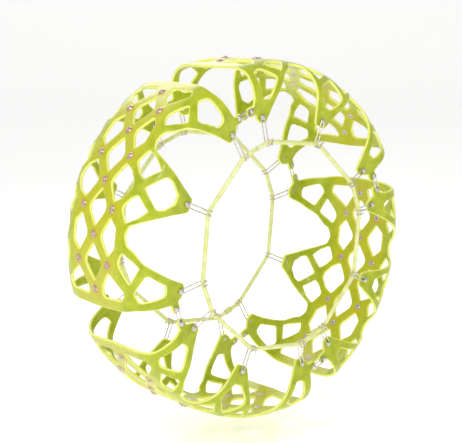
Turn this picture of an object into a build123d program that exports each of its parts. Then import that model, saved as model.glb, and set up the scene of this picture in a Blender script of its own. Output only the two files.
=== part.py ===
from build123d import *
import copy
import math
import os

os.makedirs("parts", exist_ok=True)

# A slip-on snow chain for one wheel, in the shape it has on the tyre. The wheel's axle is Y, the
# street side is -Y, and the origin is the wheel's centre. Lengths are millimetres, angles degrees.
# Four equal rubbery nets lie round the tyre. A place on a net is given by s, the distance across
# the tyre from the middle of the tread along the net's outside, and u, the angle round the wheel
# from the net's own middle.

# ---- the tyre that the chain fits, and the net's thickness over it ----
NET_THICKNESS = 5.4
TREAD_RADIUS = 322.4          # outside of the net over the tread
CROWN_HALF_WIDTH = 68.3       # the flat part of the tread, from its middle
SHOULDER_RADIUS = 48.7        # the bend from tread to sidewall, outside of the net
WALL_LEAN = math.radians(98.9)    # the bend turns a little past the sidewall's upright
TIP_RUN = 196.0               # s at the end of an arm
PANEL_COUNT = 4
FIRST_CENTRE = 156.0          # where the first net's middle stands, from +X towards +Z
PANEL_PITCH = 360.0 / PANEL_COUNT
PANEL_HALF_ANGLE = 38.2

# ---- the lattice of the net ----
ROW_SPACING = 42.0            # s between two rows of studs
STUD_STEP = 8.2               # u between a stud and the next row's stud
EYE_LENGTH = 5.6              # half of a diamond's length, round the tyre, degrees
EYE_WIDTH = 23.0              # half of a diamond's width, across the tyre
EYE_CORNER = 4.0
CUT_DEPTH = 16.0              # how far a window's cutter reaches each way from the net's middle

# ---- studs and their backing washers ----
STUD_SHANK_RADIUS = 2.6
STUD_HEAD_RADIUS = 6.0
STUD_HEAD_HEIGHT = 2.4
STUD_TIP_RADIUS = 2.3
STUD_TIP_HEIGHT = 1.4
WASHER_RADIUS = 6.4
WASHER_THICKNESS = 1.2

# ---- lugs, rivets, link loops and cord hooks ----
WIRE_RADIUS = 1.2
RIVET_RADIUS = 2.4
RUNNING_GAP = 0.06
RIVET_HEAD_RADIUS = 4.6
RIVET_HEAD_HEIGHT = 1.6
RIVET_FOOT_RADIUS = 4.2
RIVET_FOOT_HEIGHT = 1.0
FACE_GAP = 0.25               # between a wire and the face under it
LUG_RADIUS_ON_WHEEL = 250.0   # where the lug's rivet stands
LUG_ANGLE = 41.8
LUG_END_RADIUS = 8.5
LUG_ROOT = 36.0               # u where the lug starts inside the arm
LUG_FACE = 114.0              # height of the lug's outside face
TAB_RADIUS_ON_WHEEL = 232.0
TAB_ANGLES = (-36.2, 0.0, 36.2)
TAB_FACE = 111.85             # highest place of the arm's tip under a hook
EYE_RADIUS = RIVET_RADIUS + RUNNING_GAP + WIRE_RADIUS

# ---- the two elastic cords ----
CORD_RADIUS = 3.9
CORD_CORNER_ON_WHEEL = 190.0
CORD_BEND_RADIUS = 22.0
CURL_GAP = 0.9
CURL_DROP = 1.0               # the bent cord runs this far inside its corner
CURL_RADIUS = CORD_RADIUS + CURL_GAP + WIRE_RADIUS
HOOK_HEIGHT = TAB_FACE + FACE_GAP + WIRE_RADIUS
CORD_HEIGHT = HOOK_HEIGHT + CURL_RADIUS      # of the cord's middle, along the axle
HOOK_TAIL = 6.0
JOINER_LENGTH = 16.0
JOINER_RADIUS = 5.8
JOINER_BORE = CORD_RADIUS + 0.1
JOINER_GAP = FIRST_CENTRE + 1.5 * PANEL_PITCH    # the gap between the third net and the fourth

# ---- where studs and rivets stand on a net ----
RIVET_NECK = 2 * FACE_GAP + 2 * WIRE_RADIUS
LUG_WIRE_HEIGHT = LUG_FACE + FACE_GAP + WIRE_RADIUS
HOOK_NAMES = ("last", "middle", "first")
STUD_PLACES = [(0, u * STUD_STEP) for u in (-4, -2, 0, 2, 4)]
STUD_PLACES += [(s, u * STUD_STEP) for s in (-ROW_SPACING, ROW_SPACING) for u in (-3, -1, 1, 3)]
RIVET_PLACES = [(LUG_RADIUS_ON_WHEEL, u, LUG_FACE) for u in (-LUG_ANGLE, LUG_ANGLE)]
RIVET_PLACES += [(TAB_RADIUS_ON_WHEEL, u, TAB_FACE) for u in TAB_ANGLES]


def section(s, depth=0.0):
    """Radius, height and lean of the net at s, depth under its outside."""
    run = abs(s)
    lean = min(max(run - CROWN_HALF_WIDTH, 0.0) / SHOULDER_RADIUS, WALL_LEAN)
    past = max(run - CROWN_HALF_WIDTH - SHOULDER_RADIUS * WALL_LEAN, 0.0)
    radius = TREAD_RADIUS - SHOULDER_RADIUS * (1 - math.cos(lean))
    radius -= past * math.sin(lean) + depth * math.cos(lean)
    height = min(run, CROWN_HALF_WIDTH) + SHOULDER_RADIUS * math.sin(lean)
    height += past * math.cos(lean) - depth * math.sin(lean)
    return radius, math.copysign(height, s), lean


def around(radius, height, u):
    """The point at that radius from the axle, that height along it, and angle u."""
    turn = math.radians(u)
    return Vector(radius * math.cos(turn), height, radius * math.sin(turn))


def on_net(s, u, depth=0.0):
    radius, height, _ = section(s, depth)
    return around(radius, height, u)


def net_plane(s, u, depth=0.0):
    """A plane on the net at (s, u): its z points out of the net, its x round the wheel."""
    lean = section(s)[2]
    turn = math.radians(u)
    outward = Vector(
        math.cos(lean) * math.cos(turn),
        math.copysign(math.sin(lean), s),
        math.cos(lean) * math.sin(turn),
    )
    along = Vector(-math.sin(turn), 0, math.cos(turn))
    return Plane(origin=on_net(s, u, depth), x_dir=along, z_dir=outward)


def wall_point(s, u):
    """Where (s, u) falls in a plan drawn on the XZ plane, which is seen from -Y."""
    radius = section(s)[0]
    turn = math.radians(u)
    return radius * math.cos(turn), radius * math.sin(turn)


def wall_plane(height):
    """The plan of a sidewall at that height along the axle, seen from the street side."""
    return Plane(origin=(0, height, 0), x_dir=(1, 0, 0), z_dir=(0, -1, 0))


def sidewall_plane(radius, u, side, height):
    """A plane flat on a sidewall: its x points away from the axle, its z out of the wheel."""
    spot = around(radius, side * height, u)
    return Plane(origin=spot, x_dir=around(1, 0, u), z_dir=(0, side, 0))


def mirrored(outline):
    """The outline and its mirror images in the net's two middle lines, each one once."""
    centre_s = sum(s for s, u in outline) / len(outline)
    centre_u = sum(u for s, u in outline) / len(outline)
    sides = (1, -1) if abs(centre_s) > 1 else (1,)
    ends = (1, -1) if abs(centre_u) > 0.5 else (1,)
    return [[(s * side, u * end) for s, u in outline] for side in sides for end in ends]


def eye(s, u):
    """A diamond window of the lattice round (s, u)."""
    return [(s, u - EYE_LENGTH), (s + EYE_WIDTH, u), (s, u + EYE_LENGTH), (s - EYE_WIDTH, u)]


# The windows of one quarter of the net, each with its corner radius.
TREAD_EYES = [
    (eye(0, STUD_STEP), EYE_CORNER),
    (eye(0, 3 * STUD_STEP), EYE_CORNER),
]
MIDDLE_EYE = [(18, 0), (41, 5.7), (61, 4.0), (75, 1.0), (75, -1.0), (61, -4.0), (41, -5.7)]
NOTCH_SIDE_EYE = [(19.5, 16.4), (41.5, 10.9), (58, 13.6), (58, 18.9), (42, 21.9)]
END_EYE = [(43, 26.5), (20, 33.8), (25, 35), (72, 34.3), (79, 32)]
SHOULDER_EYE = [(79, 20.2), (69, 23.5), (92, 29.2), (109, 24.2)]
END_TAB_WINDOW = [(121, 26.7), (156, 31.5), (153, 35), (106, 35), (99, 32)]
MIDDLE_ARM_EYE = [(80, 11), (66, 7), (80.5, 4), (91, 2.5), (113.5, 6.6), (100, 9)]
MIDDLE_TAB_WINDOW = [(100, 0), (127, 5.3), (140, 5), (160, 2.6), (160, -2.6), (140, -5), (127, -5.3)]
WINDOWS = TREAD_EYES + [
    (MIDDLE_EYE, 3.0),
    (NOTCH_SIDE_EYE, EYE_CORNER),
    (END_EYE, 3.0),
    (SHOULDER_EYE, EYE_CORNER),
    (END_TAB_WINDOW, 5.0),
    (MIDDLE_ARM_EYE, 3.0),
    (MIDDLE_TAB_WINDOW, 3.0),
]

# The gap between the middle arm and an end arm: its rounded bottom on the shoulder, and the rest,
# with the arms' rounded ends, down the sidewall.
NOTCH_BOTTOM = [
    (83, 12.7), (83, 16.6), (92, 18.2), (100, 19.2), (116, 22.9), (136, 25.4), (136, 8.2), (108, 10.5),
    (92, 11.8),
]
NOTCH_CORNER = 5.0
NOTCH_WALL = [
    (126, 9.0), (158, 6.2), (179, 4.4), (190, 3.4), (196, 1.6), (206, 1.6), (206, 35.0), (196, 35.0),
    (190, 33.0), (180, 32), (151, 27.5), (126, 24.2),
]
TAB_END_CORNER = [(182, 41.0), (184, 39.0), (196, 37.4), (206, 37.4), (206, 41.0)]
CUT_THROUGH = 140.0

with BuildPart() as net_panel:
    # the band that the whole net is cut from
    with BuildSketch(Plane.XY.rotated((0, PANEL_HALF_ANGLE, 0))):
        with BuildLine():
            bend_end = CROWN_HALF_WIDTH + SHOULDER_RADIUS * WALL_LEAN
            bend_middle = CROWN_HALF_WIDTH + SHOULDER_RADIUS * WALL_LEAN / 2
            stations = (0.001, CROWN_HALF_WIDTH, bend_middle, bend_end, TIP_RUN)
            outside = [section(s)[:2] for s in stations]
            inside = [section(s, NET_THICKNESS)[:2] for s in stations]
            Line((outside[0][0], 0), outside[1])
            ThreePointArc(outside[1], outside[2], outside[3])
            Line(outside[3], outside[4])
            Line(outside[4], inside[4])
            Line(inside[4], inside[3])
            ThreePointArc(inside[3], inside[2], inside[1])
            Line(inside[1], (inside[0][0], 0))
            mirror(about=Plane.XZ)
        make_face()
    revolve(axis=Axis((0, 0, 0), (0, -1, 0)), revolution_arc=2 * PANEL_HALF_ANGLE)

    # the windows, each cut square to the net at its own middle
    for drawn, corner in WINDOWS + [(NOTCH_BOTTOM, NOTCH_CORNER)]:
        for outline in mirrored(drawn):
            middle_s = sum(s for s, u in outline) / len(outline)
            middle_u = sum(u for s, u in outline) / len(outline)
            plane = net_plane(middle_s, middle_u, NET_THICKNESS / 2)
            flat = [plane.to_local_coords(on_net(s, u, NET_THICKNESS / 2)) for s, u in outline]
            with BuildSketch(plane) as window:
                with BuildLine():
                    Polyline(*[(p.X, p.Y) for p in flat], close=True)
                make_face()
                fillet(window.vertices(), corner)
            extrude(amount=CUT_DEPTH, both=True, mode=Mode.SUBTRACT)

    # the gaps between the arms on both sidewalls, and the ends of the end arms
    for drawn in (NOTCH_WALL, TAB_END_CORNER):
        for end in (1, -1):
            with BuildSketch(wall_plane(0)):
                with BuildLine():
                    Polyline(*[wall_point(s, u * end) for s, u in drawn], close=True)
                make_face()
            extrude(amount=CUT_THROUGH, both=True, mode=Mode.SUBTRACT)

    # the lugs towards the next nets
    for side in (1, -1):
        with BuildSketch(wall_plane(side * LUG_FACE)):
            for end in (1, -1):
                root = around(LUG_RADIUS_ON_WHEEL, 0, LUG_ROOT * end)
                tip = around(LUG_RADIUS_ON_WHEEL, 0, LUG_ANGLE * end)
                middle = (root + tip) / 2
                SlotCenterPoint((middle.X, middle.Z), (tip.X, tip.Z), 2 * LUG_END_RADIUS)
        extrude(amount=side * NET_THICKNESS)

    # holes for the studs, with seats for their washers, and for the rivets
    for s, u in STUD_PLACES:
        seat = net_plane(s, u, NET_THICKNESS)
        with BuildSketch(seat):
            Circle(STUD_SHANK_RADIUS)
        extrude(amount=2 * NET_THICKNESS, both=True, mode=Mode.SUBTRACT)
        with BuildSketch(seat.offset(-NET_THICKNESS)):
            Circle(WASHER_RADIUS + FACE_GAP)
        extrude(amount=NET_THICKNESS + WASHER_THICKNESS, mode=Mode.SUBTRACT)
    with BuildSketch(wall_plane(0)):
        for radius, u, _ in RIVET_PLACES:
            spot = around(radius, 0, u)
            with Locations((spot.X, spot.Z)):
                Circle(RIVET_RADIUS)
    extrude(amount=CUT_THROUGH, both=True, mode=Mode.SUBTRACT)

    # flat seats for the rivets' feet under the arms' ends
    for side in (1, -1):
        with BuildSketch(wall_plane(side * (TAB_FACE - NET_THICKNESS))):
            for u in TAB_ANGLES:
                spot = around(TAB_RADIUS_ON_WHEEL, 0, u)
                with Locations((spot.X, spot.Z)):
                    Circle(RIVET_FOOT_RADIUS + FACE_GAP)
        extrude(amount=side * NET_THICKNESS, mode=Mode.SUBTRACT)

# a stud: its head stands on the tread, with a hard tip, and its shank goes through to the washer
with BuildPart() as tread_stud:
    with BuildSketch(Plane.XZ):
        with BuildLine():
            shank_end = (STUD_SHANK_RADIUS, -NET_THICKNESS)
            Polyline(
                (0, STUD_HEAD_HEIGHT + STUD_TIP_HEIGHT), (0, -NET_THICKNESS), shank_end,
                (STUD_SHANK_RADIUS, 0), (STUD_HEAD_RADIUS, 0), (STUD_HEAD_RADIUS, STUD_HEAD_HEIGHT / 3),
            )
            ThreePointArc(
                (STUD_HEAD_RADIUS, STUD_HEAD_HEIGHT / 3),
                ((STUD_HEAD_RADIUS + STUD_TIP_RADIUS) / 2 + 0.5, STUD_HEAD_HEIGHT * 0.86),
                (STUD_TIP_RADIUS, STUD_HEAD_HEIGHT),
            )
            Polyline(
                (STUD_TIP_RADIUS, STUD_HEAD_HEIGHT),
                (STUD_TIP_RADIUS * 0.75, STUD_HEAD_HEIGHT + STUD_TIP_HEIGHT),
                (0, STUD_HEAD_HEIGHT + STUD_TIP_HEIGHT),
            )
        make_face()
    revolve(axis=Axis.Z)

with BuildPart() as stud_washer:
    with BuildSketch():
        Circle(WASHER_RADIUS)
        Circle(STUD_SHANK_RADIUS, mode=Mode.SUBTRACT)
    extrude(amount=WASHER_THICKNESS)

# a rivet with a button head over a wire and a flat foot on the tyre side, standing up in z from
# the net's face
with BuildPart() as rivet:
    with BuildSketch(Plane.XY.offset(-NET_THICKNESS - RIVET_FOOT_HEIGHT)):
        Circle(RIVET_FOOT_RADIUS)
    extrude(amount=RIVET_FOOT_HEIGHT)
    with BuildSketch(Plane.XY.offset(-NET_THICKNESS)):
        Circle(RIVET_RADIUS)
    extrude(amount=NET_THICKNESS + RIVET_NECK)
    with BuildSketch(Plane.XY.offset(RIVET_NECK)):
        Circle(RIVET_HEAD_RADIUS)
    extrude(amount=RIVET_HEAD_HEIGHT)
    fillet(rivet.faces().sort_by(Axis.Z)[-1].edges(), RIVET_HEAD_HEIGHT * 0.7)

# a closed wire loop that ties two neighbouring lugs, drawn on the rivets' own plane
LINK_SPAN = 2 * LUG_RADIUS_ON_WHEEL * math.sin(math.radians(PANEL_PITCH / 2 - LUG_ANGLE))
with BuildPart() as link_loop:
    with BuildLine() as loop_route:
        Line((0, -EYE_RADIUS), (LINK_SPAN, -EYE_RADIUS))
        ThreePointArc(
            (LINK_SPAN, -EYE_RADIUS), (LINK_SPAN + EYE_RADIUS, 0), (LINK_SPAN, EYE_RADIUS)
        )
        Line((LINK_SPAN, EYE_RADIUS), (0, EYE_RADIUS))
        ThreePointArc((0, EYE_RADIUS), (-EYE_RADIUS, 0), (0, -EYE_RADIUS))
    with BuildSketch(loop_route.line ^ 0):
        Circle(WIRE_RADIUS)
    sweep(path=loop_route.line)

# a cord hook: one wire bent round its rivet, with two legs that end in curls under the cord. It
# is drawn with x outwards from the axle, y along the wheel and z out of the sidewall; the rivet
# stands at the origin.
HOOK_LENGTH = TAB_RADIUS_ON_WHEEL - CORD_CORNER_ON_WHEEL + CURL_DROP
with BuildPart() as cord_hook:
    with BuildLine() as hook_route:
        for leg in (-EYE_RADIUS, EYE_RADIUS):
            foot = (-HOOK_LENGTH, leg, 0)
            curl = (-HOOK_LENGTH - CURL_RADIUS, leg, CURL_RADIUS)
            tail = (-HOOK_LENGTH, leg, 2 * CURL_RADIUS)
            Line((-HOOK_LENGTH + HOOK_TAIL, leg, 2 * CURL_RADIUS), tail)
            ThreePointArc(tail, curl, foot)
            Line(foot, (0, leg, 0))
        ThreePointArc((0, -EYE_RADIUS, 0), (EYE_RADIUS, 0, 0), (0, EYE_RADIUS, 0))
    tail_end = (-HOOK_LENGTH + HOOK_TAIL, -EYE_RADIUS, 2 * CURL_RADIUS)
    with BuildSketch(Plane(origin=tail_end, z_dir=(-1, 0, 0))):
        Circle(WIRE_RADIUS)
    sweep(path=hook_route.wire())

# one net's share of an elastic cord, from mid-gap to mid-gap, drawn on the XZ plane
gap_middle_radius = CORD_CORNER_ON_WHEEL * math.cos(math.radians(PANEL_PITCH / 2 - TAB_ANGLES[2]))
cord_corners = [(gap_middle_radius, -PANEL_PITCH / 2)]
cord_corners += [(CORD_CORNER_ON_WHEEL, u) for u in TAB_ANGLES]
cord_corners += [(gap_middle_radius, PANEL_PITCH / 2)]
with BuildPart() as cord_share:
    with BuildLine() as cord_route:
        corners = [around(radius, 0, u) for radius, u in cord_corners]
        route = FilletPolyline(*corners, radius=CORD_BEND_RADIUS)
    with BuildSketch(route ^ 0):
        Circle(CORD_RADIUS)
    sweep(path=route)
tube_volume = math.pi * CORD_RADIUS ** 2 * route.length
print("cord share: length", round(route.length, 1), "bend radius", CORD_BEND_RADIUS)
print("cord share: volume over section times length", cord_share.part.volume / tube_volume)

# the sleeve that joins a cord's two ends
with BuildPart() as cord_joiner:
    Cylinder(JOINER_RADIUS, JOINER_LENGTH)
    Cylinder(JOINER_BORE, JOINER_LENGTH, mode=Mode.SUBTRACT)
    fillet(cord_joiner.edges().filter_by(GeomType.CIRCLE), 0.6)


def write(name, *solids):
    part = solids[0] if len(solids) == 1 else Compound(children=list(solids))
    part.label = name
    export_step(part, f"parts/{name}.step")


def stand(piece, plane, turn=0.0):
    """The piece on that plane, turned with its net round the axle."""
    placed = plane.location * copy.copy(piece)
    return placed.rotate(Axis.Y, -turn)


# Each net with its studs, washers, rivets and hooks. Nets and gaps are counted clockwise from the
# first net, as seen from the street side.
SIDE_NAMES = {-1: "outer", 1: "inner"}
for number in range(1, PANEL_COUNT + 1):
    centre = FIRST_CENTRE - (number - 1) * PANEL_PITCH
    write(f"net_panel_{number}", net_panel.part.rotate(Axis.Y, -centre))
    studs = [stand(tread_stud.part, net_plane(s, u), centre) for s, u in STUD_PLACES]
    write(f"tread_studs_{number}", *studs)
    backs = [stand(stud_washer.part, net_plane(s, u, NET_THICKNESS), centre) for s, u in STUD_PLACES]
    write(f"stud_washers_{number}", *backs)
    rivets = [
        stand(rivet.part, sidewall_plane(radius, u, side, face), centre)
        for radius, u, face in RIVET_PLACES for side in SIDE_NAMES
    ]
    write(f"rivets_{number}", *rivets)
    for side, side_name in SIDE_NAMES.items():
        start = around(LUG_RADIUS_ON_WHEEL, 0, -LUG_ANGLE)
        finish = around(LUG_RADIUS_ON_WHEEL, 0, LUG_ANGLE - PANEL_PITCH)
        along = (finish - start).normalized()
        loop_plane = Plane(
            origin=(start.X, side * LUG_WIRE_HEIGHT, start.Z), x_dir=along, z_dir=(0, side, 0)
        )
        write(f"link_loop_{side_name}_{number}", stand(link_loop.part, loop_plane, centre))
        for u, place in zip(TAB_ANGLES, HOOK_NAMES):
            hook_plane = sidewall_plane(TAB_RADIUS_ON_WHEEL, u, side, HOOK_HEIGHT)
            write(f"cord_hook_{side_name}_{number}_{place}", stand(cord_hook.part, hook_plane, centre))
        cord_plane = Plane(origin=(0, side * CORD_HEIGHT, 0))
        share = cord_plane.location * copy.copy(cord_share.part)
        write(f"tension_cord_{side_name}_{number}", share.rotate(Axis.Y, -centre))

for side, side_name in SIDE_NAMES.items():
    middle = around(gap_middle_radius, side * CORD_HEIGHT, JOINER_GAP)
    along = around(1, 0, JOINER_GAP + 90)
    write(
        f"cord_joiner_{side_name}",
        Plane(origin=middle, z_dir=along).location * copy.copy(cord_joiner.part),
    )
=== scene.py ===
# %% [markdown]
# # A slip-on snow chain
# Four moulded nets of clear lime polyurethane wrap a tyre. Steel studs sit at the crossings of the
# lattice, wire loops tie the nets end to end, and on each sidewall an elastic cord, held by wire
# hooks, pulls the nets' arms in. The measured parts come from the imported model, and this file
# gives them their looks. The first cell loads that model and keeps the size of its box.

# %% Load the frame
import math

import bmesh
import bpy
from mathutils import Matrix, Vector


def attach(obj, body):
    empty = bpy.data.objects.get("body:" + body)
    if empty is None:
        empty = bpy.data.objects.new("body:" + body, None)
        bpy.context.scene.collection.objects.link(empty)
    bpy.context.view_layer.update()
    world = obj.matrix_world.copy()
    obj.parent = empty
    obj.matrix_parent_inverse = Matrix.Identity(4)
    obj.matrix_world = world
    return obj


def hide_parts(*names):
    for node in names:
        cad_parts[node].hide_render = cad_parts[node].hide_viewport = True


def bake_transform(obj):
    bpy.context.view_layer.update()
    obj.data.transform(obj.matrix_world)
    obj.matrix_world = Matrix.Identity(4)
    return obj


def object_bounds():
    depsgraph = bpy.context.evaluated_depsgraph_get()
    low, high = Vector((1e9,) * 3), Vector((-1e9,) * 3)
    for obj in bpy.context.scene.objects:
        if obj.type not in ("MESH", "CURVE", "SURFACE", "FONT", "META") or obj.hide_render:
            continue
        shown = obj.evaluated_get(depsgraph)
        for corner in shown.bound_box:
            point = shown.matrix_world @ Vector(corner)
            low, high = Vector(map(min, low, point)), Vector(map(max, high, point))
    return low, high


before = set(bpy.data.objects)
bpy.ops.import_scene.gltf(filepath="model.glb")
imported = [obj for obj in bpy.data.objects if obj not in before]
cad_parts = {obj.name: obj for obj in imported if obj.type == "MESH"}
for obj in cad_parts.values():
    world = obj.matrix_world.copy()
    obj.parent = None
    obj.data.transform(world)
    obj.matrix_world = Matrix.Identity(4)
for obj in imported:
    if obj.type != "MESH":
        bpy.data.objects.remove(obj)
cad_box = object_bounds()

print("the model's box in metres:", cad_box)

# %% [markdown]
# The chain's own measures, in millimetres and degrees. They are the ones that the parts were
# designed with. A place on a net is (s, u): s is the distance across the tyre from the middle of
# the tread, along the net's outside, and u is the angle round the wheel from the net's middle.

# %% Driving measures
MM = 0.001
NET_THICKNESS = 5.4
TREAD_RADIUS = 322.4
CROWN_HALF_WIDTH = 68.3
SHOULDER_RADIUS = 48.7
WALL_LEAN = math.radians(98.9)
PANEL_COUNT = 4
PANEL_PITCH = 360 / PANEL_COUNT
PANEL_CENTRES = [156 - PANEL_PITCH * number for number in range(PANEL_COUNT)]
ROW_SPACING = 42.0
STUD_STEP = 8.2
STUD_PLACES = [(0, u * STUD_STEP) for u in (-4, -2, 0, 2, 4)]
STUD_PLACES += [(s, u * STUD_STEP) for s in (-ROW_SPACING, ROW_SPACING) for u in (-3, -1, 1, 3)]
LUG_RADIUS_ON_WHEEL = 250.0
LUG_ANGLE = 41.8
TAB_RADIUS_ON_WHEEL = 232.0
TAB_ANGLES = {"last": -36.2, "middle": 0.0, "first": 36.2}
SIDES = {"outer": -1, "inner": 1}

# %% [markdown]
# ## Bending a flat sheet round the tyre
# A real net is moulded flat and then wraps the tyre. The same order is the easy one here: the net
# is drawn as a flat sheet, where holes are easy to cut, and each of its points is then carried
# onto the tyre. `section` gives the place across the tyre, and `on_tyre` turns it round the wheel.
# The crown eases into the shoulder, so the net's turn grows little by little there.

# %% From the flat sheet to the tyre
FLAT_PER_DEGREE = math.radians(1) * TREAD_RADIUS


def lean_at(run):
    """How far the net has turned towards the wheel at that distance from its middle."""
    past_edge = run - CROWN_HALF_WIDTH
    if abs(past_edge) < SHOULDER_EASE:
        past_edge = (past_edge + SHOULDER_EASE) ** 2 / (4 * SHOULDER_EASE)
    return min(max(past_edge, 0) / SHOULDER_RADIUS, WALL_LEAN)


def walk_over_the_tyre(furthest):
    """Radius, height and lean at every step from the middle of the tread to the wheel."""
    radius, height = TREAD_RADIUS, 0
    stops = [(radius, height, 0)]
    for step in range(round(furthest / SECTION_STEP)):
        lean = lean_at((step + 0.5) * SECTION_STEP)
        radius -= math.sin(lean) * SECTION_STEP
        height += math.cos(lean) * SECTION_STEP
        stops.append((radius, height, lean_at((step + 1) * SECTION_STEP)))
    return stops


SECTION_STEP = 0.5
SHOULDER_EASE = 24.0
FURTHEST_PLACE = 260
STOPS = walk_over_the_tyre(FURTHEST_PLACE)
print("the flat part of the tread, across:", 2 * CROWN_HALF_WIDTH, "mm")


def section(s, depth):
    """Radius and height of the net at s, depth under its outside."""
    index, share = divmod(abs(s) / SECTION_STEP, 1)
    before, after = STOPS[int(index)], STOPS[int(index) + 1]
    radius, height, lean = (a + (b - a) * share for a, b in zip(before, after))
    radius -= depth * math.cos(lean)
    height -= depth * math.sin(lean)
    return radius, math.copysign(height, s)


def around(radius, height, angle):
    """The point at that radius from the axle, height along it and angle, in metres."""
    turn = math.radians(angle)
    return Vector((radius * math.cos(turn), height, radius * math.sin(turn))) * MM


def on_tyre(s, u, depth, centre):
    radius, height = section(s, depth)
    return around(radius, height, centre + u)


# %% [markdown]
# ## Small helpers
# `shade` turns a colour as painters write it into the linear values that Blender works in. `node`
# adds one shader node with its settings and its links. `keep` makes an object of a finished
# bmesh, at the origin and with smooth faces.

# %% Helpers
def shade(code):
    channels = [int(code[i:i + 2], 16) / 255 for i in (1, 3, 5)]
    linear = [c / 12.92 if c <= 0.04045 else ((c + 0.055) / 1.055) ** 2.4 for c in channels]
    return (*linear, 1.0)


def node(tree, kind, settings=None, links=None, **values):
    """A node of that kind. Its inputs get the values, by name or number, or the linked sockets."""
    made = tree.nodes.new(kind)
    for name, value in (settings or {}).items():
        setattr(made, name, value)
    for name, value in values.items():
        made.inputs[name.replace("_", " ")].default_value = value
    for name, socket in (links or {}).items():
        tree.links.new(socket, made.inputs[name])
    return made


def new_material(name):
    material = bpy.data.materials.new(name)
    material.use_nodes = True
    material.node_tree.nodes.clear()
    return material, material.node_tree


def keep(name, bm, *materials):
    mesh = bpy.data.meshes.new(name)
    bm.normal_update()
    bm.to_mesh(mesh)
    bm.free()
    for material in materials:
        mesh.materials.append(material)
    mesh.shade_smooth()
    obj = bpy.data.objects.new(name, mesh)
    bpy.context.scene.collection.objects.link(obj)
    return obj


# %% [markdown]
# ## The camera and the room
# The camera stands a little above the axle, off to the tread's side, where the street side and
# the tread both show. A pale floor that sweeps up behind, broad soft lamps and a bright room give
# an even studio light. The floor lies a little below the ring, because the ring hangs from the
# first net and its bottom comes 42 mm lower when the nets swing.

# %% Camera
camera_data = bpy.data.cameras.new("camera")
camera_data.sensor_width = 36
camera_data.lens = 87.83
camera_data.shift_x = -0.0223
camera_data.shift_y = 0.0318
camera = bpy.data.objects.new("camera", camera_data)
camera.location = Vector((-1319.5, -1542.5, 383.5)) * MM
camera.rotation_euler = (-camera.location).to_track_quat("-Z", "Y").to_euler()
bpy.context.scene.collection.objects.link(camera)
bpy.context.scene.camera = camera
bpy.context.scene.view_settings.view_transform = "Standard"
toward_camera = camera.location.normalized()
across_view = Vector((0, 0, 1)).cross(toward_camera).normalized()

# %% Floor and light
SWING_ROOM = 44
floor_height = cad_box[0][2] - SWING_ROOM * MM
bm = bmesh.new()
back_row = [bm.verts.new((x, -6, floor_height)) for x in (-8, 8)]
bm.edges.new(back_row)
for step in ((0, 9, 0), (0, 1.2, 0.25), (0, 0.8, 0.9), (0, 0.2, 5)):
    edges = [e for e in bm.edges if all(v in back_row for v in e.verts)]
    pulled = bmesh.ops.extrude_edge_only(bm, edges=edges)["geom"]
    back_row = [v for v in pulled if isinstance(v, bmesh.types.BMVert)]
    bmesh.ops.translate(bm, verts=back_row, vec=step)
turn_to_view = math.atan2(-toward_camera.x, toward_camera.y) + math.pi
bmesh.ops.rotate(bm, verts=bm.verts, cent=(0, 0, 0), matrix=Matrix.Rotation(turn_to_view, 3, "Z"))
paper, tree = new_material("matt white paper sweep")
surface = node(tree, "ShaderNodeBsdfPrincipled", Base_Color=shade("#FBFBFA"), Roughness=0.85)
surface.inputs["Emission Color"].default_value = shade("#FFFFFF")
surface.inputs["Emission Strength"].default_value = 0.32
node(tree, "ShaderNodeOutputMaterial", links={"Surface": surface.outputs[0]})
sweep = keep("studio_sweep", bm, paper)

world = bpy.data.worlds.new("bright room")
bpy.context.scene.world = world
world.use_nodes = True
world.node_tree.nodes["Background"].inputs["Color"].default_value = shade("#FFFFFF")
world.node_tree.nodes["Background"].inputs["Strength"].default_value = 0.5


def lamp(name, place, size, power):
    data = bpy.data.lights.new(name, "AREA")
    data.size = size
    data.energy = power
    obj = bpy.data.objects.new(name, data)
    obj.location = place
    obj.rotation_euler = (-obj.location).to_track_quat("-Z", "Y").to_euler()
    bpy.context.scene.collection.objects.link(obj)


lamp("front_lamp", Vector((-0.5, -0.75, 0.44)) * 2.4, 0.3, 8)
lamp("key_lamp", toward_camera * 1.6 - across_view * 1.2 + Vector((0, 0, 1.7)), 1.0, 22)
lamp("fill_lamp", toward_camera * 1.9 + across_view * 1.6 + Vector((0, 0, 0.5)), 1.6, 7)
lamp("back_lamp", -toward_camera * 1.8 - across_view * 0.6 + Vector((0, 0, 1.9)), 1.4, 15)

# %% [markdown]
# ## The net's plastic
# Thermoplastic polyurethane, moulded, dyed lime and left clear enough to let light through. It
# scatters light a few millimetres deep and it is glossy. Thin rims are painted paler than the
# middle of a strand. This painted rim light stands in for the light that comes through the thin
# plastic.
# The tread side has yellowed from wear, in fine mottled patches that deepen to amber round the
# studs. The sheet's points carry two painted values: one for the painted rim light, which is 1 at
# an edge, and `stain`, which is 1 at a stud and lower over the rest of the tread.

# %% Moulded polyurethane
tpu, tree = new_material("moulded translucent polyurethane, lime")
object_place = node(tree, "ShaderNodeTexCoord")
# The painted rim light, read from the sheet's points.
rim_light = node(tree, "ShaderNodeAttribute", {"attribute_name": "rim_light"})
stain = node(tree, "ShaderNodeAttribute", {"attribute_name": "stain"})
cloud = node(tree, "ShaderNodeTexNoise", Scale=45.0, Detail=3.0, Roughness=0.6,
             links={"Vector": object_place.outputs["Object"]})
mottle = node(tree, "ShaderNodeTexNoise", Scale=190.0, Detail=3.0, Roughness=0.65,
              links={"Vector": object_place.outputs["Object"]})
speck = node(tree, "ShaderNodeTexNoise", Scale=520.0, Detail=2.0, Roughness=0.7,
             links={"Vector": object_place.outputs["Object"]})
body_colour = node(tree, "ShaderNodeValToRGB", links={"Fac": cloud.outputs["Fac"]})
body_colour.color_ramp.elements[0].position = 0.35
body_colour.color_ramp.elements[0].color = shade("#9FAF10")
body_colour.color_ramp.elements[1].position = 0.65
body_colour.color_ramp.elements[1].color = shade("#B9C426")
patches = node(tree, "ShaderNodeMapRange", links={"Value": mottle.outputs["Fac"]})
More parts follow.
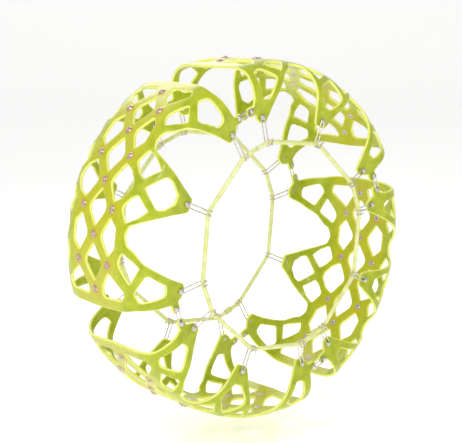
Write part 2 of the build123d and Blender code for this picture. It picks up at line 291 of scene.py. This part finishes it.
patches.inputs["From Min"].default_value = 0.3
patches.inputs["From Max"].default_value = 0.62
patches.inputs["To Min"].default_value = 0.5
patches.inputs["To Max"].default_value = 1.9
stain_share = node(tree, "ShaderNodeMath", {"operation": "MULTIPLY", "use_clamp": True},
                   links={0: stain.outputs["Fac"], 1: patches.outputs["Result"]})
amber_share = node(tree, "ShaderNodeMath", {"operation": "MULTIPLY"},
                   links={0: stain.outputs["Fac"], 1: mottle.outputs["Fac"]})
stain_colour = node(tree, "ShaderNodeValToRGB", links={"Fac": amber_share.outputs[0]})
stain_colour.color_ramp.elements[0].position = 0.22
stain_colour.color_ramp.elements[0].color = shade("#CFD010")
stain_colour.color_ramp.elements[1].position = 0.42
stain_colour.color_ramp.elements[1].color = shade("#D98F14")
stained = node(tree, "ShaderNodeMix", {"data_type": "RGBA"},
               links={0: stain_share.outputs[0], 6: body_colour.outputs["Color"],
                      7: stain_colour.outputs["Color"]})
# Painted rim light: at the edges the colour is mixed towards a pale lime, which stands in for
# light coming through the thin plastic.
rim_light_share = node(tree, "ShaderNodeMath", {"operation": "POWER"}, links={0: rim_light.outputs["Fac"]})
rim_light_share.inputs[1].default_value = 1.6
with_rim_light = node(tree, "ShaderNodeMix", {"data_type": "RGBA"},
                links={0: rim_light_share.outputs[0], 6: stained.outputs[2]})
with_rim_light.inputs[7].default_value = shade("#F0F283")
gloss = node(tree, "ShaderNodeMapRange", links={"Value": mottle.outputs["Fac"]})
gloss.inputs["To Min"].default_value = 0.2
gloss.inputs["To Max"].default_value = 0.42
dimple = node(tree, "ShaderNodeBump", Strength=0.12, Distance=0.0006,
              links={"Height": speck.outputs["Fac"]})
surface = node(tree, "ShaderNodeBsdfPrincipled", IOR=1.5,
               links={"Base Color": with_rim_light.outputs[2], "Normal": dimple.outputs[0],
                      "Roughness": gloss.outputs["Result"]})
surface.inputs["Subsurface Weight"].default_value = 0.3
surface.inputs["Subsurface Radius"].default_value = (1.0, 1.0, 0.25)
surface.inputs["Subsurface Scale"].default_value = 0.004
surface.inputs["Specular IOR Level"].default_value = 0.3
surface.inputs["Coat Weight"].default_value = 0.2
surface.inputs["Coat Roughness"].default_value = 0.12
node(tree, "ShaderNodeOutputMaterial", links={"Surface": surface.outputs[0]})

# %% [markdown]
# ## The flat pattern of a net
# One quarter of the outline is enough, because both halves and both ends of a net are alike. Each
# corner is (s, u, r), where r is its rounding in millimetres. Rounding is an arc between the two
# sides, drawn by swinging from one tangent point to the other.

# %% Rounded outlines
ARC_STEPS = 7


def rounded(corners):
    """A closed outline in flat millimetres, with each corner rounded."""
    flat = [(Vector((u * FLAT_PER_DEGREE, s)), r) for s, u, r in corners]
    outline = []
    for index, (corner, radius) in enumerate(flat):
        before = flat[index - 1][0] - corner
        after = flat[(index + 1) % len(flat)][0] - corner
        half_turn = before.angle(after) / 2
        reach = radius / math.tan(half_turn)
        reach = min(reach, before.length * 0.48, after.length * 0.48)
        start = corner + before.normalized() * reach
        finish = corner + after.normalized() * reach
        for step in range(ARC_STEPS + 1):
            t = step / ARC_STEPS
            outline.append(start.lerp(corner, t).lerp(corner.lerp(finish, t), t))
    return outline


def mirrored(corners):
    """The corners and their mirror images in the net's middle lines, each one once."""
    middle_s = sum(c[0] for c in corners) / len(corners)
    middle_u = sum(c[1] for c in corners) / len(corners)
    sides = (1, -1) if abs(middle_s) > 1 else (1,)
    ends = (1, -1) if abs(middle_u) > 0.5 else (1,)
    return [[(s * side, u * end, r) for s, u, r in corners] for side in sides for end in ends]


# %% [markdown]
# The windows of the lattice are leaf shaped: narrow where two strands part, and full at the sides.

# %% Windows
def leaf(s, u):
    tip, side = 3, 17
    return [(s, u - 5.7, tip), (s + 27, u, side), (s, u + 5.7, tip), (s - 27, u, side)]


WINDOWS = [
    leaf(0, STUD_STEP),
    leaf(0, 3 * STUD_STEP),
    [(17, 0, 13), (41, 5.8, 3), (61, 4.2, 18), (76, 1, 5),
     (76, -1, 5), (61, -4.2, 18), (41, -5.8, 3)],
    [(18, 16.4, 14), (41.5, 10.7, 3), (59, 13.3, 7), (59, 19.2, 7), (42, 22.0, 3)],
    [(43, 26.8, 3), (22, 31.5, 14), (20, 34, 2), (24, 34.9, 3),
     (72, 34.5, 5), (80, 32, 8), (63, 29.4, 60)],
    [(79, 20.0, 4), (68, 23.2, 14), (92, 29.2, 3), (109.5, 24.2, 4), (101, 22.6, 40)],
    [(122, 26.5, 7), (157, 31.7, 9), (153, 35.1, 9), (105, 35.1, 9), (98, 32, 9)],
    [(80, 11.2, 4), (65.5, 7, 9), (80.5, 4, 6), (92, 2.6, 4), (113.5, 6.6, 2), (100, 9.2, 30)],
    [(100, 0, 3), (128, 5.6, 9), (140, 4.9, 9), (160, 1.8, 6),
     (160, -1.8, 6), (140, -4.9, 9), (128, -5.6, 9)],
]
QUARTER_OUTLINE = [
    (0, 38.6, 60), (66, 38.1, 60), (98, 37.5, 60), (122, 38.2, 60), (148, 39.0, 6),
    (160.3, 39.8, 3), (160.3, 43.4, 8), (177.3, 43.6, 8), (177.3, 39.6, 4), (186, 38.9, 12),
    (196, 37.0, 12), (196.5, 33.6, 8), (184, 31.7, 20), (151, 27.1, 60), (116, 22.6, 40),
    (100, 19.0, 30), (88, 17.9, 14), (82, 14.9, 14), (88, 12.0, 14), (98, 11.2, 30),
    (130, 8.5, 60), (158, 6.2, 60), (180, 4.5, 30), (196, 3.0, 10),
]

# %% [markdown]
# A strand's edge is rounded like a bead. Rows of points step in from every outline, each row a
# little higher than the one before it, and the level middle is filled between the innermost rows.
# A grid of cuts then lets the sheet bend evenly. This makes half the thickness, and a mirror image
# closes it underneath.

# %% The flat sheet
GRID_ACROSS = 7.0
GRID_AROUND = 1.5 * FLAT_PER_DEGREE
GRID_CUTS = (((0, 1, 0), GRID_ACROSS, 28), ((1, 0, 0), GRID_AROUND, 29))
# Each row is (step in, drop, painted rim light). The third value paints the edges paler, as rim
# light.
RIM_ROWS = ((0.0, 1.5, 1.0), (0.5, 0.7, 1.0), (1.3, 0.2, 0.8), (2.6, 0.0, 0.1))


def stepped_in(outline, distance):
    """The outline moved that far to its left."""
    moved = []
    for index, point in enumerate(outline):
        before = (point - outline[index - 1]).normalized()
        after = (outline[(index + 1) % len(outline)] - point).normalized()
        along = (before + after).normalized()
        mitre = distance / max(along.dot(before), 0.7)
        moved.append(point + Vector((-along.y, along.x)) * mitre)
    return moved


def whole_outline():
    """The quarter outline carried round the four quarters."""
    quarter = QUARTER_OUTLINE
    half_net = quarter[1:] + [(s, -u, r) for s, u, r in reversed(quarter[1:])]
    other_half = [(-s, u, r) for s, u, r in reversed(half_net)]
    return [quarter[0]] + half_net + [(0, -quarter[0][1], quarter[0][2])] + other_half


def wound(outline, left_is_inside):
    """The same outline, wound so that its left hand side is the inside or the outside."""
    area = sum(a.cross(b) for a, b in zip(outline, outline[1:] + outline[:1]))
    return outline if (area > 0) == left_is_inside else outline[::-1]


def rim_rows(bm, outline, half, layer):
    """Rows of quads that step in from the outline. The innermost row's edges are returned."""
    loops = []
    for distance, drop, value in RIM_ROWS:
        loop = [bm.verts.new((p.x, p.y, half - drop)) for p in stepped_in(outline, distance)]
        # Each point keeps its row's painted rim-light value.
        for vert in loop:
            vert[layer] = value
        loops.append(loop)
    for outer, inner in zip(loops, loops[1:]):
        for a in range(len(outer)):
            bm.faces.new((outer[a - 1], outer[a], inner[a], inner[a - 1]))
    return [bm.edges.get((a, b)) for a, b in zip(loops[-1], loops[-1][1:] + loops[-1][:1])]


def flat_sheet(half):
    bm = bmesh.new()
    # The points carry the painted rim light, which is 1 at an edge.
    layer = bm.verts.layers.float.new("rim_light")
    edges = rim_rows(bm, wound(rounded(whole_outline()), True), half, layer)
    for window in WINDOWS:
        for corners in mirrored(window):
            edges += rim_rows(bm, wound(rounded(corners), False), half, layer)
    bmesh.ops.triangle_fill(bm, use_beauty=True, edges=edges, normal=(0, 0, 1))
    for line, spacing, reach in GRID_CUTS:
        for step in range(-reach, reach + 1):
            geometry = bm.verts[:] + bm.edges[:] + bm.faces[:]
            place = Vector(line) * step * spacing
            bmesh.ops.bisect_plane(bm, geom=geometry, dist=0.0005, plane_co=place, plane_no=line)
    return bm


half = NET_THICKNESS / 2
sheet = flat_sheet(half)
stain_layer = sheet.verts.layers.float.new("stain")
border = [e for e in sheet.edges if e.is_boundary]
skirt = bmesh.ops.extrude_edge_only(sheet, edges=border)["geom"]
for vert in skirt:
    if isinstance(vert, bmesh.types.BMVert):
        vert.co.z = 0
whole = sheet.verts[:] + sheet.edges[:] + sheet.faces[:]
bmesh.ops.mirror(sheet, geom=whole, axis="Z", merge_dist=0.01)
bmesh.ops.recalc_face_normals(sheet, faces=sheet.faces)
open_edges = [e for e in sheet.edges if e.is_boundary]
print("the moulded net:", len(sheet.faces), "faces,", len(open_edges), "open edges")

# %% [markdown]
# Round each stud the plastic is thicker, a low boss that the stud's head sits in. The same pass
# paints the stain. Then the finished sheet is bent round the tyre once for every net.

# %% Bosses, stains and bending
BOSS_RADIUS = 11.5
BOSS_HEIGHT = 1.1
STAIN_RADIUS = 19.0
TREAD_EDGE = 84.0
TREAD_FADE = 25.0
TREAD_STAIN = 0.45
for vert in sheet.verts:
    nearest = min(
        math.hypot(vert.co.x - u * FLAT_PER_DEGREE, vert.co.y - s) for s, u in STUD_PLACES
    )
    tread = min(max((TREAD_EDGE - abs(vert.co.y)) / TREAD_FADE, 0), 1)
    vert[stain_layer] = max(TREAD_STAIN * tread, 1 - nearest / STAIN_RADIUS)
    if vert.co.z > half * 0.8:
        rise = max(0, 1 - nearest / BOSS_RADIUS)
        vert.co.z += BOSS_HEIGHT * rise * rise * (3 - 2 * rise)

for number, centre in enumerate(PANEL_CENTRES, 1):
    bm = sheet.copy()
    for vert in bm.verts:
        vert.co = on_tyre(vert.co.y, vert.co.x / FLAT_PER_DEGREE, half - vert.co.z, centre)
    bmesh.ops.recalc_face_normals(bm, faces=bm.faces)
    net = keep(f"net_{number}", bm, tpu)
    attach(net, f"panel_{number}")
    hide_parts(f"net_panel_{number}")
sheet.free()

# %% [markdown]
# ## Steel that has been outdoors
# The studs are pressed steel with a thin copper-coloured wash from hardening, dulled by grit. The
# wire is drawn and zinc plated, so it is paler and smoother. One function makes both: cloudy
# patches move the colour and the roughness together, the way handling and weather do.

# %% Metals
def weathered_metal(name, bright, dull, smooth, rough, grain):
    """A bare metal. grain is the size of its patches in millimetres."""
    material, tree = new_material(name)
    place = node(tree, "ShaderNodeTexCoord")
    patches = node(tree, "ShaderNodeTexNoise", Scale=1 / (grain * MM), Detail=4.0, Roughness=0.65,
                   links={"Vector": place.outputs["Object"]})
    colour = node(tree, "ShaderNodeValToRGB", links={"Fac": patches.outputs["Fac"]})
    colour.color_ramp.elements[0].position = 0.35
    colour.color_ramp.elements[0].color = shade(dull)
    colour.color_ramp.elements[1].position = 0.65
    colour.color_ramp.elements[1].color = shade(bright)
    gloss = node(tree, "ShaderNodeMapRange", links={"Value": patches.outputs["Fac"]})
    gloss.inputs["To Min"].default_value = rough
    gloss.inputs["To Max"].default_value = smooth
    scratch = node(tree, "ShaderNodeBump", Strength=0.15, Distance=0.0002,
                   links={"Height": patches.outputs["Fac"]})
    surface = node(tree, "ShaderNodeBsdfPrincipled", Metallic=1.0,
                   links={"Base Color": colour.outputs["Color"], "Normal": scratch.outputs[0],
                          "Roughness": gloss.outputs["Result"]})
    node(tree, "ShaderNodeOutputMaterial", links={"Surface": surface.outputs[0]})
    return material


stud_steel = weathered_metal("pressed steel, copper-toned", "#E9D6C8", "#A98673", 0.22, 0.5, 3.0)
plated_steel = weathered_metal("zinc-plated steel", "#E4E2DC", "#B9B5AC", 0.25, 0.45, 4.0)
drawn_wire = weathered_metal("drawn steel wire, zinc-plated", "#EFEBE2", "#C4BBAE", 0.2, 0.4, 6.0)

# %% [markdown]
# ## Turned pieces
# A stud, a washer and a rivet are all round, so each is a profile spun about its own middle. The
# profile's points are (radius, height). A copy is set down at every place, with its height along
# the way that the net faces there.

# %% Turning and placing
TURN_STEPS = 24


def turned(profile):
    bm = bmesh.new()
    points = [bm.verts.new((radius, 0, height)) for radius, height in profile]
    edges = [bm.edges.new(pair) for pair in zip(points, points[1:])]
    if profile[0][0] > 0:
        edges.append(bm.edges.new((points[-1], points[0])))
    bmesh.ops.spin(
        bm, geom=points + edges, cent=(0, 0, 0), axis=(0, 0, 1), angle=math.tau,
        steps=TURN_STEPS, use_merge=True,
    )
    bmesh.ops.remove_doubles(bm, verts=bm.verts, dist=0.001)
    bmesh.ops.recalc_face_normals(bm, faces=bm.faces)
    return bm


def facing(origin, outward, along):
    """The matrix that stands a piece drawn in millimetres at origin, z outward and x along."""
    z = outward.normalized()
    y = z.cross(along).normalized()
    x = y.cross(z)
    frame_matrix = Matrix((x, y, z)).transposed().to_4x4()
    return Matrix.Translation(origin) @ frame_matrix @ Matrix.Scale(MM, 4)


def net_place(s, u, depth, centre):
    """A matrix on the net at (s, u): z faces out of the net, x goes round the wheel."""
    outside = on_tyre(s, u, 0, centre)
    outward = outside - on_tyre(s, u, 1, centre)
    along = around(1, 0, centre + u + 90)
    return facing(on_tyre(s, u, depth, centre), outward, along)


def wall_place(radius, u, side, height, centre):
    """A matrix flat on a sidewall: z faces out of the wheel, x points away from the axle."""
    origin = around(radius, side * height, centre + u)
    return facing(origin, Vector((0, side, 0)), around(1, 0, centre + u))


def set_down(pattern, matrices):
    """One bmesh with a copy of the pattern at each matrix."""
    gathered = bmesh.new()
    for matrix in matrices:
        before = len(gathered.verts)
        mesh = bpy.data.meshes.new("copy")
        pattern.to_mesh(mesh)
        gathered.from_mesh(mesh)
        bpy.data.meshes.remove(mesh)
        gathered.verts.ensure_lookup_table()
        bmesh.ops.transform(gathered, matrix=matrix, verts=gathered.verts[before:])
    return gathered


# %% [markdown]
# A stud has a flange that lies in its boss, a raised ring, a shallow dish and a hard pin in the
# middle. Its shank goes through to a dished washer on the tyre side.

# %% Studs, washers and rivets
INNER_FACE = -NET_THICKNESS
STUD_PROFILE = [
    (0, 3.8), (1.6, 3.8), (2.2, 3.3), (2.3, 1.6), (3.1, 1.35), (3.6, 1.7), (4.1, 2.35),
    (4.7, 2.45), (5.2, 2.1), (5.7, 1.6), (6.6, 1.2), (6.9, 0.6), (6.6, -0.3), (2.6, -0.3),
    (2.6, INNER_FACE - 0.2), (0, INNER_FACE - 0.2),
]
WASHER_PROFILE = [
    (2.62, 0.3), (2.62, -0.9), (4.2, -0.9), (6.2, -0.35), (6.4, 0.0), (6.2, 0.4), (4.4, 0.3),
]
RIVET_RADIUS = 2.4
RIVET_NECK = 2.9
RIVET_PROFILE = [
    (0, RIVET_NECK + 1.6), (1.6, RIVET_NECK + 1.52), (3.1, RIVET_NECK + 1.15),
    (4.1, RIVET_NECK + 0.6), (4.6, RIVET_NECK + 0.2), (4.4, RIVET_NECK),
    (RIVET_RADIUS, RIVET_NECK), (RIVET_RADIUS, INNER_FACE), (4.1, INNER_FACE),
    (4.2, INNER_FACE - 0.5), (3.6, INNER_FACE - 1.0), (0, INNER_FACE - 1.0),
]
LUG_FACE = 114.0
TAB_FACE = 111.85
stud = turned(STUD_PROFILE)
washer = turned(WASHER_PROFILE)
rivet = turned(RIVET_PROFILE)
for number, centre in enumerate(PANEL_CENTRES, 1):
    outside = [net_place(s, u, 0, centre) for s, u in STUD_PLACES]
    inside = [net_place(s, u, NET_THICKNESS, centre) for s, u in STUD_PLACES]
    lugs = [wall_place(LUG_RADIUS_ON_WHEEL, u, side, LUG_FACE, centre)
            for u in (-LUG_ANGLE, LUG_ANGLE) for side in SIDES.values()]
    tabs = [wall_place(TAB_RADIUS_ON_WHEEL, u, side, TAB_FACE, centre)
            for u in TAB_ANGLES.values() for side in SIDES.values()]
    fittings = {
        f"studs_{number}": (stud, outside, stud_steel, f"tread_studs_{number}", "stud_steel"),
        f"washers_{number}": (washer, inside, plated_steel, f"stud_washers_{number}",
                              "washer_steel"),
        f"rivet_set_{number}": (rivet, lugs + tabs, plated_steel, f"rivets_{number}",
                                "rivet_steel"),
    }
    print("net", number, "has", len(outside), "studs and", len(lugs + tabs), "rivets")
    for name, (pattern, places, material, cad_node, slot) in fittings.items():
        piece = keep(name, set_down(pattern, places), material)
        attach(piece, f"panel_{number}")
        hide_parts(cad_node)

# %% [markdown]
# ## Bent wire and cord
# Wire is bent the way a bench tool does it: a round end face is pushed straight for a stretch, or
# swung about a former. `Bender` holds that end face. Straight stretches can be pushed in several
# steps, as the cords are.

# %% The bending tool
WIRE_SIDES = 12
CAP_SHARE = 0.6
CAP_REACH = 0.45


class Bender:
    """A round bar that grows from one end. A closed bar, or one that is cut later, has no cap."""

    def __init__(self, radius, start, facing_way, capped=True):
        self.bm = bmesh.new()
        turn = facing_way.to_track_quat("Z", "Y").to_matrix().to_4x4()
        made = bmesh.ops.create_circle(
            self.bm, segments=WIRE_SIDES, radius=radius, matrix=Matrix.Translation(start) @ turn
        )
        self.verts = made["verts"]
        if capped:
            self.cap(self.verts, -facing_way)

    def edges(self, verts):
        own = set(verts)
        return [e for e in self.bm.edges if all(v in own for v in e.verts)]

    def push(self, step, pieces=1):
        for _ in range(pieces):
            grown = bmesh.ops.extrude_edge_only(self.bm, edges=self.edges(self.verts))["geom"]
            self.verts = [g for g in grown if isinstance(g, bmesh.types.BMVert)]
            bmesh.ops.translate(self.bm, verts=self.verts, vec=step / pieces)

    def swing(self, centre, axis, degrees, steps):
        ring = self.verts + self.edges(self.verts)
        turn = math.radians(degrees)
        grown = bmesh.ops.spin(
            self.bm, geom=ring, cent=centre, axis=axis, angle=turn, steps=steps
        )["geom_last"]
        self.verts = [g for g in grown if isinstance(g, bmesh.types.BMVert)]

    def cap(self, verts, way):
        """Rounds an end: a smaller ring a little further out, then a face across it."""
        grown = bmesh.ops.extrude_edge_only(self.bm, edges=self.edges(verts))["geom"]
        tip = [g for g in grown if isinstance(g, bmesh.types.BMVert)]
        middle = sum((v.co for v in tip), Vector()) / len(tip)
        reach = (tip[0].co - middle).length * CAP_REACH
        for vert in tip:
            vert.co = middle + (vert.co - middle) * CAP_SHARE + way.normalized() * reach
        bmesh.ops.contextual_create(self.bm, geom=tip + self.edges(tip))

    def finish(self, way=None):
        if way is not None:
            self.cap(self.verts, way)
        bmesh.ops.remove_doubles(self.bm, verts=self.bm.verts, dist=1e-5)
        bmesh.ops.recalc_face_normals(self.bm, faces=self.bm.faces)
        return self.bm


# %% [markdown]
# ### Link loops
# A closed loop of wire goes round the rivets of two neighbouring lugs. It is bent once, in
# millimetres, and each loop is a copy.

# %% Link loops
WIRE_RADIUS = 1.2
RUNNING_GAP = 0.06
FACE_GAP = 0.25
EYE_STEPS = 14
EYE_RADIUS = RIVET_RADIUS + RUNNING_GAP + WIRE_RADIUS
LUG_WIRE_HEIGHT = LUG_FACE + FACE_GAP + WIRE_RADIUS
LINK_SPAN = 2 * LUG_RADIUS_ON_WHEEL * math.sin(math.radians(PANEL_PITCH / 2 - LUG_ANGLE))
X, Y, Z = Vector((1, 0, 0)), Vector((0, 1, 0)), Vector((0, 0, 1))

bar = Bender(WIRE_RADIUS, -Y * EYE_RADIUS, X, capped=False)
bar.push(X * LINK_SPAN)
bar.swing(X * LINK_SPAN, Z, 180, EYE_STEPS)
bar.push(-X * LINK_SPAN)
bar.swing(Vector(), Z, 180, EYE_STEPS)
loop = bar.finish()
print("a link loop spans", round(LINK_SPAN, 1), "mm between its rivets")

for number, centre in enumerate(PANEL_CENTRES, 1):
    for side_name, side in SIDES.items():
        start = around(LUG_RADIUS_ON_WHEEL, side * LUG_WIRE_HEIGHT, centre - LUG_ANGLE)
        next_lug = centre - PANEL_PITCH + LUG_ANGLE
        finish = around(LUG_RADIUS_ON_WHEEL, side * LUG_WIRE_HEIGHT, next_lug)
        place = facing(start, Vector((0, side, 0)), finish - start)
        piece = keep(f"wire_loop_{side_name}_{number}", set_down(loop, [place]), drawn_wire)
        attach(piece, f"link_{number}")
        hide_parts(f"link_loop_{side_name}_{number}")

# %% [markdown]
# ### Cord hooks
# One wire makes a hook. It starts at a short tail, curls under the cord, runs out to the rivet,
# goes round it, and comes back the same way. It is drawn with x away from the axle and z out of
# the wheel, and the rivet stands at the middle of the drawing.

# %% Cord hooks
CORD_RADIUS = 3.9
CORD_CORNER_ON_WHEEL = 190.0
CORD_BEND_RADIUS = 22.0
CURL_GAP = 0.9
CURL_DROP = 1.0
CURL_STEPS = 12
CURL_RADIUS = CORD_RADIUS + CURL_GAP + WIRE_RADIUS
HOOK_HEIGHT = TAB_FACE + FACE_GAP + WIRE_RADIUS
CORD_HEIGHT = HOOK_HEIGHT + CURL_RADIUS
HOOK_LENGTH = TAB_RADIUS_ON_WHEEL - CORD_CORNER_ON_WHEEL + CURL_DROP
HOOK_TAIL = 6.0

curl_middle = Vector((-HOOK_LENGTH, 0, CURL_RADIUS))
tail_end = Vector((HOOK_TAIL - HOOK_LENGTH, -EYE_RADIUS, 2 * CURL_RADIUS))
bar = Bender(WIRE_RADIUS, tail_end, -X)
bar.push(-X * HOOK_TAIL)
bar.swing(curl_middle, -Y, 180, CURL_STEPS)
bar.push(X * HOOK_LENGTH)
bar.swing(Vector(), Z, 180, EYE_STEPS)
bar.push(-X * HOOK_LENGTH)
bar.swing(curl_middle, Y, 180, CURL_STEPS)
bar.push(X * HOOK_TAIL)
hook = bar.finish(X)
print("a hook is", round(HOOK_LENGTH, 1), "mm from its rivet to its curl")

for number, centre in enumerate(PANEL_CENTRES, 1):
    for side_name, side in SIDES.items():
        for end_name, u in TAB_ANGLES.items():
            place = wall_place(TAB_RADIUS_ON_WHEEL, u, side, HOOK_HEIGHT, centre)
            label = f"{side_name}_{number}_{end_name}"
            piece = keep(f"wire_hook_{label}", set_down(hook, [place]), drawn_wire)
            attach(piece, f"hook_{label}")
            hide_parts(f"cord_hook_{label}")

# %% [markdown]
# ## The elastic cord
# Moulded rubber cord, cream with a touch of the net's yellow. It is stretched tight, so it runs
# dead straight between hooks and turns only where a hook holds it.

# %% Cord rubber
rubber, tree = new_material("extruded elastic rubber, cream yellow")
place = node(tree, "ShaderNodeTexCoord")
mottle = node(tree, "ShaderNodeTexNoise", Scale=55.0, Detail=3.0, Roughness=0.6,
              links={"Vector": place.outputs["Object"]})
colour = node(tree, "ShaderNodeValToRGB", links={"Fac": mottle.outputs["Fac"]})
colour.color_ramp.elements[0].position = 0.35
colour.color_ramp.elements[0].color = shade("#DDE08E")
colour.color_ramp.elements[1].position = 0.65
colour.color_ramp.elements[1].color = shade("#EFF0B4")
bloom = node(tree, "ShaderNodeBump", Strength=0.1, Distance=0.0003,
             links={"Height": mottle.outputs["Fac"]})
surface = node(tree, "ShaderNodeBsdfPrincipled", Roughness=0.45,
               links={"Base Color": colour.outputs["Color"], "Normal": bloom.outputs[0]})
surface.inputs["Subsurface Weight"].default_value = 0.2
surface.inputs["Subsurface Radius"].default_value = (1.0, 0.9, 0.4)
surface.inputs["Subsurface Scale"].default_value = 0.002
node(tree, "ShaderNodeOutputMaterial", links={"Surface": surface.outputs[0]})

# %% [markdown]
# A net's share of the cord runs from the middle of one gap, over the net's three hooks, to the
# middle of the next gap. It is cut at its middle hook, because its two ends flex across two
# different links. The half at the open end moves with its net; the other halves stay where they
# are drawn.

# %% Tension cords
CORD_PIECE = 5.0
CORD_BEND_STEPS = 8
FLEX_START = 38
gap_radius = CORD_CORNER_ON_WHEEL * math.cos(math.radians(PANEL_PITCH / 2 - TAB_ANGLES["first"]))


def cord_share(height, centre):
    """The share's tube along straight runs with a bend at each hook."""
    corners = [around(gap_radius, height, centre - PANEL_PITCH / 2)]
    corners += [around(CORD_CORNER_ON_WHEEL, height, centre + u) for u in TAB_ANGLES.values()]
    corners += [around(gap_radius, height, centre + PANEL_PITCH / 2)]
    bend = CORD_BEND_RADIUS * MM
    way = (corners[1] - corners[0]).normalized()
    tube = Bender(CORD_RADIUS * MM, corners[0], way, capped=False)
    spot = corners[0]
    for corner, following in zip(corners[1:], corners[2:]):
        onward = (following - corner).normalized()
        turn = way.angle(onward)
        run = corner - way * (bend * math.tan(turn / 2)) - spot
        tube.push(run, max(1, round(run.length / (CORD_PIECE * MM))))
        spot += run
        axis = way.cross(onward).normalized()
        tube.swing(spot + axis.cross(way) * bend, axis, math.degrees(turn), CORD_BEND_STEPS)
        spot = corner + onward * (bend * math.tan(turn / 2))
        way = onward
    run = corners[-1] - spot
    tube.push(run, max(1, round(run.length / (CORD_PIECE * MM))))
    return tube.finish()


LINK_BESIDE = {
    "last": lambda number: number,
    "first": lambda number: (number - 2) % PANEL_COUNT + 1,
}
OPEN_END = (3, "last")
for number, centre in enumerate(PANEL_CENTRES, 1):
    for side_name, side in SIDES.items():
        for end_name, link_number in LINK_BESIDE.items():
            bm = cord_share(side * CORD_HEIGHT, centre)
            sense = 1 if end_name == "first" else -1
            away = around(1, 0, centre + 90) * sense
            geometry = bm.verts[:] + bm.edges[:] + bm.faces[:]
            bmesh.ops.bisect_plane(
                bm, geom=geometry, dist=1e-6, plane_co=(0, 0, 0), plane_no=away, clear_inner=True
            )
            bmesh.ops.holes_fill(bm, edges=[e for e in bm.edges if e.is_boundary], sides=0)
            bmesh.ops.recalc_face_normals(bm, faces=bm.faces)
            cord = keep(f"cord_{side_name}_{number}_{end_name}", bm, rubber)
            if (number, end_name) == OPEN_END:
                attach(cord, f"panel_{number}")
            else:
                flex_angle = centre + sense * FLEX_START
                start = around(CORD_CORNER_ON_WHEEL, side * CORD_HEIGHT, flex_angle)
                finish = around(gap_radius, side * CORD_HEIGHT, centre + sense * PANEL_PITCH / 2)
                f"link_{link_number(number)}"
                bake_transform(cord)
            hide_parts(f"tension_cord_{side_name}_{number}")

# %% [markdown]
# ### The joiner
# A moulded sleeve closes each cord in the gap between the third net and the fourth. It has
# rounded lips and three grip rings. Its cream plastic took a fine grain from the mould, which
# leaves it duller than the cord.

# %% Joiner sleeves
JOINER_PROFILE = [
    (4.0, -8), (4.9, -8), (5.6, -7.6), (5.8, -6.9), (5.8, -5.2), (5.3, -4.7), (5.3, -3.6),
    (5.8, -3.1), (5.8, -1.1), (5.3, -0.6), (5.3, 0.6), (5.8, 1.1), (5.8, 3.1), (5.3, 3.6),
    (5.3, 4.7), (5.8, 5.2), (5.8, 6.9), (5.6, 7.6), (4.9, 8), (4.0, 8),
]
plastic, tree = new_material("moulded plastic, cream")
place = node(tree, "ShaderNodeTexCoord")
grain = node(tree, "ShaderNodeTexNoise", Scale=600.0, Detail=2.0,
             links={"Vector": place.outputs["Object"]})
fade = node(tree, "ShaderNodeMix", {"data_type": "RGBA"}, links={0: grain.outputs["Fac"]})
fade.inputs[6].default_value = shade("#D6D98C")
fade.inputs[7].default_value = shade("#E6E8AC")
grip = node(tree, "ShaderNodeBump", Strength=0.2, Distance=0.0002,
            links={"Height": grain.outputs["Fac"]})
surface = node(tree, "ShaderNodeBsdfPrincipled", Roughness=0.5,
               links={"Base Color": fade.outputs[2], "Normal": grip.outputs[0]})
node(tree, "ShaderNodeOutputMaterial", links={"Surface": surface.outputs[0]})

joiner = turned(JOINER_PROFILE)
joiner_angle = PANEL_CENTRES[2] - PANEL_PITCH / 2
for side_name, side in SIDES.items():
    place = facing(
        around(gap_radius, side * CORD_HEIGHT, joiner_angle), around(1, 0, joiner_angle + 90), Y
    )
    sleeve = keep(f"joiner_{side_name}", set_down(joiner, [place]), plastic)
    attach(sleeve, "panel_3")
    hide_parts(f"cord_joiner_{side_name}")
